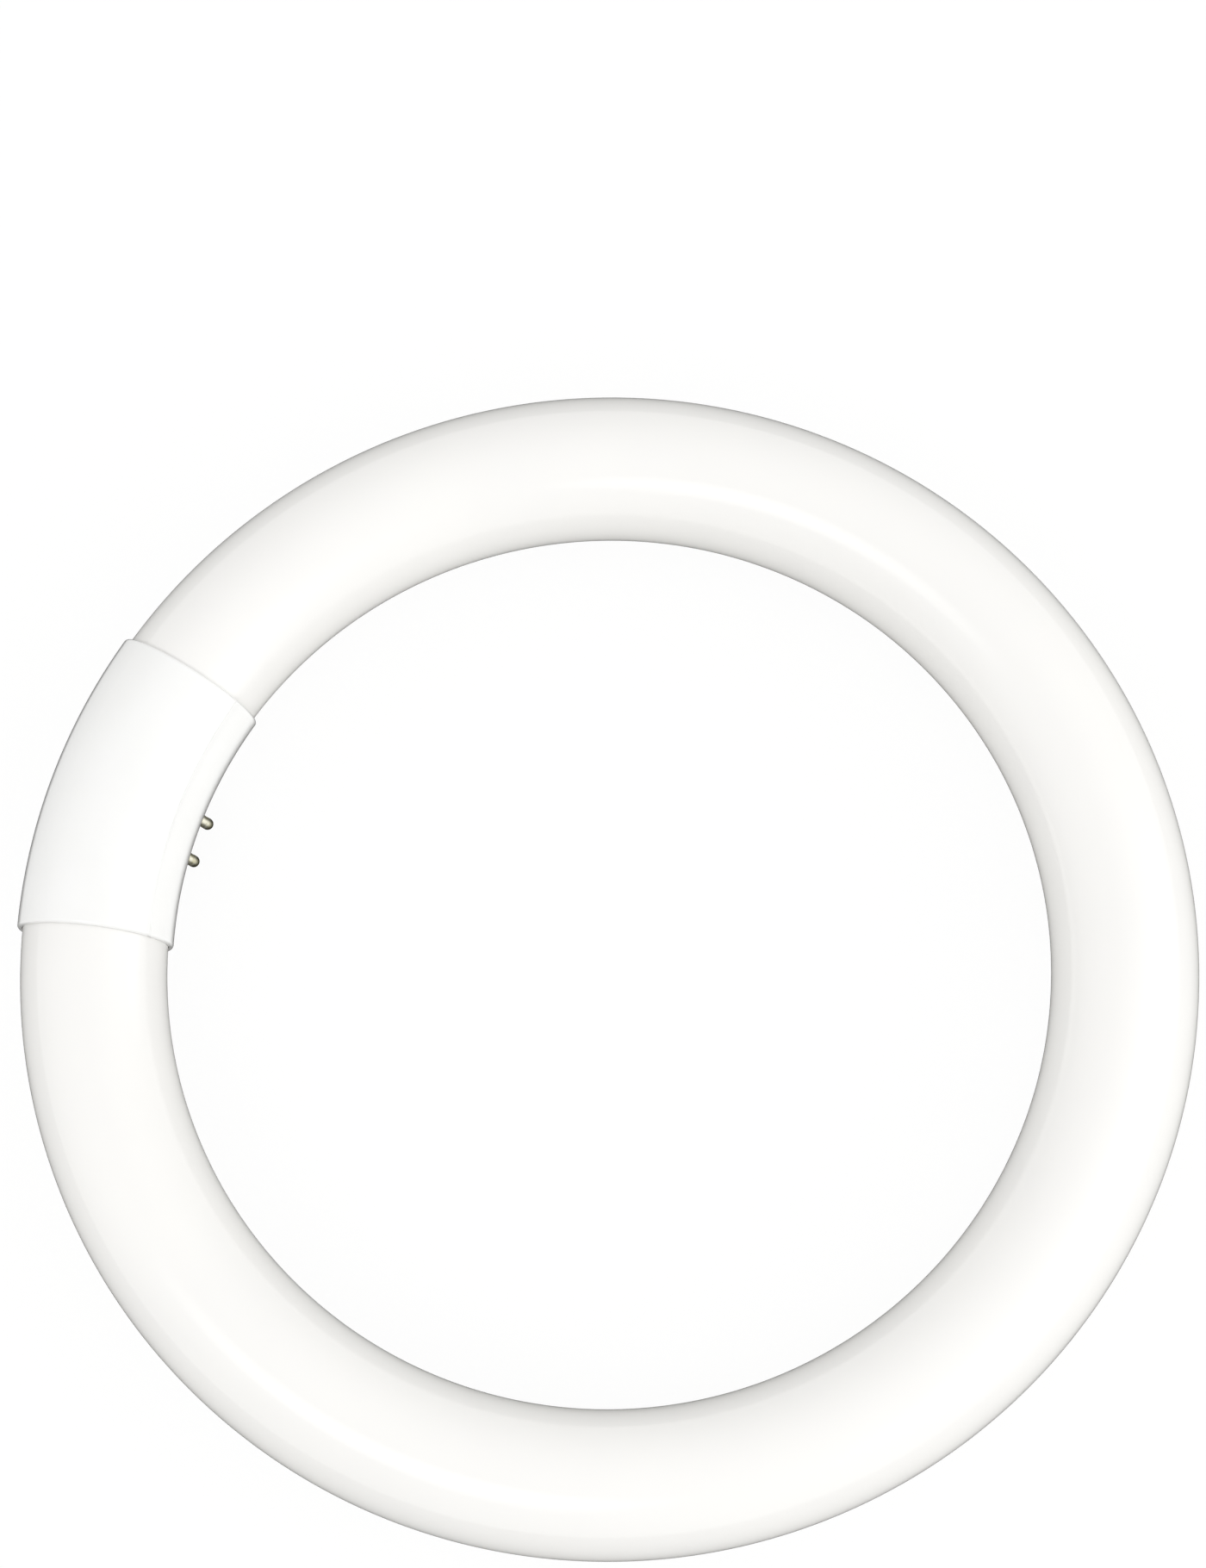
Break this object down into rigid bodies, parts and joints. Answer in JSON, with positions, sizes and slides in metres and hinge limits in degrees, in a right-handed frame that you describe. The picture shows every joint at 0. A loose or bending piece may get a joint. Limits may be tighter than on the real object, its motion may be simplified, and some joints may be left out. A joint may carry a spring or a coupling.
{
  "type": "circular fluorescent tube",
  "caption": "Ring-shaped fluorescent lamp: a white coated glass tube whose ends meet in a split plastic cap with contact pins.",
  "frame": {"origin": "on the ring's axis, level with the tips of the lower pins, which are the lowest points", "axes": "+Z along the ring's axis, away from the pins; the cap is centred on -X; XZ is the plane of symmetry"},
  "size_m": [0.226, 0.225, 0.0361],
  "materials": {
    "coated_glass": "clear glass over an opaque warm white coating",
    "cap_plastic": "satin moulded white",
    "pin_brass": "drawn, lightly tarnished",
    "lead_metal": "plated wire",
    "sleeving": "woven glass fibre"
  },
  "bodies": {
    "root": {"glass_tube": "coated_glass", "cap_cover": "cap_plastic", "cap_base": "cap_plastic", "contact_pin_1": "pin_brass", "contact_pin_2": "pin_brass", "contact_pin_3": "pin_brass", "contact_pin_4": "pin_brass", "lead_wire_1": "lead_metal", "lead_wire_2": "lead_metal", "lead_wire_3": "lead_metal", "lead_wire_4": "lead_metal", "wire_sleeve_1": "sleeving", "wire_sleeve_2": "sleeving", "wire_sleeve_3": "sleeving", "wire_sleeve_4": "sleeving"}
  },
  "joints": []
}
